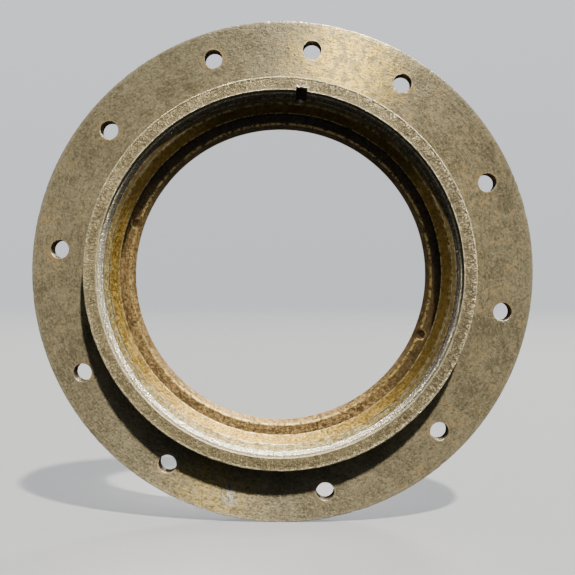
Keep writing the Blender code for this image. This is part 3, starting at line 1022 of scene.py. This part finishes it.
def build_thrust_ring():
    foot_top = THRUST_BOTTOM + THRUST_FOOT_THICKNESS
    profile = outline(
        (THRUST_UPSTAND_RADIUS, THRUST_TOP, 0.3, 1.5),
        (THRUST_UPSTAND_RADIUS, foot_top, 0, 2.5),
        (THRUST_RADIUS, foot_top, 0.2, 1.0),
        (THRUST_RADIUS, THRUST_BOTTOM, 0.2, 4.0),
        (THRUST_INNER_RADIUS, THRUST_BOTTOM, 0.15, 0.5),
        (THRUST_INNER_RADIUS, THRUST_BOTTOM + 0.7, 0.25, 0.55),
    )
    grid = Grid(profile, 1100)
    cone = smooth_step(grid.radius, THRUST_UPSTAND_RADIUS + 0.1, THRUST_UPSTAND_RADIUS - 0.5)
    cone = cone * smooth_step(grid.height, THRUST_BOTTOM + 0.3, THRUST_BOTTOM + 1.2)
    rough = 0.12 + 0.09 * grid.noise(4.5, 51) + 0.07 * grid.noise(1.9, 52)
    edge = nicks(grid, 53, 120, THRUST_UPSTAND_RADIUS, THRUST_TOP, (0.5, 1.8), (0.1, 0.4))
    foot = nicks(grid, 54, 120, THRUST_INNER_RADIUS, THRUST_BOTTOM + 0.7, (0.5, 1.6), (0.08, 0.3))
    grid.push(-deepest(cone * rough, edge, foot))
    ring = turned("thrust_ring_turned", grid)
    rings = [
        (0, 0, THRUST_UPSTAND_RADIUS - 0.2, THRUST_TOP - 0.1),
        (0, 0, THRUST_INNER_RADIUS + 0.1, THRUST_BOTTOM + 0.7),
    ]
    mark_edges(ring, "wear", rings, 0.6)
    films = ((0.23, 0.138, 0.024), (0.38, 0.24, 0.044), (0.53, 0.355, 0.08))
    material = bore_brass("thrust_brass_gold", films, 0.6, (0.84, 0.70, 0.40), (0.50, 0.36, 0.15))
    finish_piece(ring, material, "thrust_ring", "thrust_ring")


def build_retaining_ring():
    top = RETAINING_TOP
    inner_top = top - RETAINING_DISH
    outer = RETAINING_HIGH.x / MM
    profile = outline(
        (outer, top, 0.35, 0.42),
        (outer, RETAINING_BOTTOM, 0.3, 1.5),
        (RETAINING_INNER_RADIUS, RETAINING_BOTTOM, 0.2, 0.8),
        (RETAINING_INNER_RADIUS, inner_top, 0.4, 0.35),
    )
    grid = Grid(profile, 1300)
    face = smooth_step(grid.normal[:, 1], 0.8, 0.93)
    lines = 0.06 + 0.06 * np.sin(2 * math.pi * grid.radius / 1.25)
    uneven = 0.04 + 0.03 * grid.noise(8, 61) + 0.03 * grid.noise(2.4, 62)
    inner_nicks = nicks(grid, 63, 70, RETAINING_INNER_RADIUS, inner_top, (0.5, 1.6), (0.1, 0.35))
    outer_nicks = nicks(grid, 64, 50, outer, top, (0.5, 1.4), (0.1, 0.3))
    thread = thread_cut(grid, outer, RETAINING_BOTTOM + 0.2, top - 0.2)
    grid.push(-deepest(face * (lines + uneven), inner_nicks, outer_nicks, thread))
    ring = turned("retaining_ring_threaded", grid)
    inner = RETAINING_INNER_RADIUS
    slot = slot_block("spanner_slot", inner - 2, outer + 2, top - SLOT_DROP, top + 1, 0.2)
    at = clock(SCREW_CIRCLE_RADIUS, KEYWAY_BEARING)
    hole_radius = SCREW_SHANK_RADIUS + GAP
    through = [(hole_radius, top + 1), (hole_radius, RETAINING_BOTTOM - 1)]
    hole = spindle("locking_screw_hole", through, at, 40)
    cut(ring, [slot])
    cut(ring, [hole])
    rings = [
        (0, 0, RETAINING_INNER_RADIUS + 0.2, inner_top - 0.1),
        (0, 0, outer - 0.2, top - 0.1),
    ]
    mark_edges(ring, "wear", rings, 0.55)
    films = ((0.36, 0.24, 0.075), (0.57, 0.41, 0.14), (0.78, 0.61, 0.27))
    material = bore_brass("retaining_brass_pale", films, 0.8, (0.9, 0.84, 0.64), (0.46, 0.32, 0.13))
    finish_piece(ring, material, "retaining_ring", "retaining_ring")


def build_locking_screw():
    """A cheese-head screw: domed head, driver slot, threaded shank."""
    head_bottom = SCREW_TOP - SCREW_HEAD_HEIGHT
    head = SCREW_HEAD_RADIUS
    shank = SCREW_SHANK_RADIUS
    rows = [
        (0.35 * head, SCREW_TOP),
        (0.72 * head, SCREW_TOP - 0.05),
        (0.9 * head, SCREW_TOP - 0.14),
        (0.98 * head, SCREW_TOP - 0.3),
        (head, SCREW_TOP - 0.5),
        (head, head_bottom + 0.1),
        (head - 0.1, head_bottom),
        (shank, head_bottom),
    ]
    pitch = 0.5
    depth = 0.22
    turn = head_bottom - 0.25
    while turn - pitch > RETAINING_BOTTOM + 0.2:
        rows += [(shank, turn), (shank - depth, turn - pitch / 2)]
        turn -= pitch
    rows += [(shank, turn), (shank - 0.3, RETAINING_BOTTOM)]
    at = clock(SCREW_CIRCLE_RADIUS, KEYWAY_BEARING)
    screw = spindle("locking_screw_slotted", rows, at, 56)
    slot_turn = math.radians(58)
    along = np.array((math.cos(slot_turn), 0, math.sin(slot_turn)))
    across = np.array((-math.sin(slot_turn), 0, math.cos(slot_turn)))
    reach = 2 * head
    levels = ((SCREW_TOP - 0.7, -reach, reach, 0.32), (SCREW_TOP + 0.5, -reach, reach, 0.42))
    slot = block("driver_slot", np.array((at[0], 0, at[1])), along, across, levels)
    cut(screw, [slot])
    finish_piece(screw, screw_steel(), "retaining_ring", "locking_screw")


# ---------------- stage


def build_floor():
    """A pale round floor under the rim, which thins out into the pale surroundings."""
    edge = 9.0
    level = cad_box[0].z
    steps = 96
    points = [(0.0, 0.0, level)]
    points += [
        (edge * math.cos(2 * math.pi * k / steps), edge * math.sin(2 * math.pi * k / steps), level)
        for k in range(steps)
    ]
    faces = [(0, 1 + k, 1 + (k + 1) % steps) for k in range(steps)]
    mesh = bpy.data.meshes.new("floor")
    mesh.from_pydata(points, [], faces)
    floor = new_object("floor", mesh)
    g = Graph("floor_pale")
    length = g.vector_math("LENGTH", g.coordinates, output="Value")
    grain = g.noise(g.coordinates, 40.0, 3.0, 0.5)
    tone = g.mix(grain, (0.20, 0.20, 0.20), (0.22, 0.22, 0.22))
    seen = g.seen_directly()
    g.set(Base_Color=tone, Roughness=0.9, Emission_Color=STUDIO_COLOUR, Emission_Strength=FLOOR_GLOW)
    clear = g.add("ShaderNodeBsdfTransparent")
    blend = g.add("ShaderNodeMixShader")
    far = g.band(length, 1.2, 6.0)
    g.feed(blend.inputs[0], g.math("MAXIMUM", far, g.math("SUBTRACT", 1.0, seen)))
    g.tree.links.new(g.shader.outputs[0], blend.inputs[1])
    g.tree.links.new(clear.outputs[0], blend.inputs[2])
    output = g.tree.nodes["Material Output"]
    g.tree.links.new(blend.outputs[0], output.inputs["Surface"])
    mesh.materials.append(g.material)
    show_to_camera_only(floor)


def show_to_camera_only(obj):
    """Stage pieces are seen, but throw no light on the object and don't mirror in it."""
    obj.visible_diffuse = False
    obj.visible_glossy = False
    obj.visible_shadow = False


def build_surroundings():
    """A pale dome far away on every side."""
    reach = 12.0
    rings = 24
    steps = 48
    points = [(0.0, 0.0, reach), (0.0, 0.0, -reach)]
    for i, k in itertools.product(range(1, rings), range(steps)):
        down = math.pi * i / rings
        turn = 2 * math.pi * k / steps
        flat = reach * math.sin(down)
        points.append((flat * math.cos(turn), flat * math.sin(turn), reach * math.cos(down)))
    last = 2 + (rings - 2) * steps
    faces = []
    for k in range(steps):
        after = (k + 1) % steps
        faces.append((0, 2 + after, 2 + k))
        faces.append((1, last + k, last + after))
        for low in range(2, last, steps):
            faces.append((low + k, low + after, low + steps + after, low + steps + k))
    mesh = bpy.data.meshes.new("surroundings")
    mesh.from_pydata(points, [], faces)
    mesh.shade_smooth()
    dome = new_object("surroundings", mesh)
    g = Graph("surroundings_pale")
    height = g.separated(g.coordinates)[2]
    glow = g.times(g.band(height, -2.0, 9.0, *DOME_GLOW), g.seen_directly())
    g.set(Base_Color=(0.0, 0.0, 0.0), Emission_Color=STUDIO_COLOUR, Emission_Strength=glow)
    mesh.materials.append(g.material)
    show_to_camera_only(dome)


def new_sun(name, direction, energy, softness, colour):
    """A lamp far away in this direction from the object."""
    lamp = bpy.data.lights.new(name, "SUN")
    lamp.energy = energy
    lamp.angle = math.radians(softness)
    lamp.color = colour
    obj = new_object(name, lamp)
    obj.rotation_euler = Vector(direction).to_track_quat("Z", "Y").to_euler()


def build_light():
    """A warm key from the upper right, a softer one behind for the back, and a dim room.

    A bright band in the room stands above the object's plane, where bevelled rims mirror it.
    """
    new_sun("key", *KEY_SUN)
    new_sun("back_key", *BACK_SUN)
    world = bpy.data.worlds.new("studio")
    bpy.context.scene.world = world
    world.use_nodes = True
    room = Nodes(world.node_tree)
    background = room.tree.nodes["Background"]
    direction = room.add("ShaderNodeTexCoord").outputs["Generated"]
    _, depth, height = room.separated(direction)
    sky_way = Vector(SKY_DIRECTION).normalized()
    towards = room.vector_math("DOT_PRODUCT", direction, sky_way, "Value")
    front_edge = room.band(depth, -0.75, -0.4)
    back_edge = room.band(depth, 0.15, 0.4, 1.0, 0.0)
    over = room.band(towards, 0.0, 0.5, 0.0, SKY_STRENGTH)
    sky = room.times(room.times(front_edge, back_edge), over)
    dim = room.band(height, -0.3, 0.8, *ROOM_STRENGTH)
    room.feed(background.inputs["Color"], ROOM_COLOUR)
    room.feed(background.inputs["Strength"], room.math("ADD", sky, dim))


def build_camera():
    data = bpy.data.cameras.new("camera")
    data.lens_unit = "FOV"
    data.angle = FIELD_OF_VIEW
    data.clip_start = 0.01
    camera = new_object("camera", data)
    camera.location = VIEW_FROM
    camera.rotation_euler = (VIEW_TOWARDS - VIEW_FROM).to_track_quat("-Z", "Y").to_euler()
    bpy.context.scene.camera = camera


build_camera()
build_light()
build_surroundings()
build_floor()
build_flange()
build_collar()
build_seat_ring()
build_seals()
build_glass()
build_thrust_ring()
build_retaining_ring()
build_locking_screw()
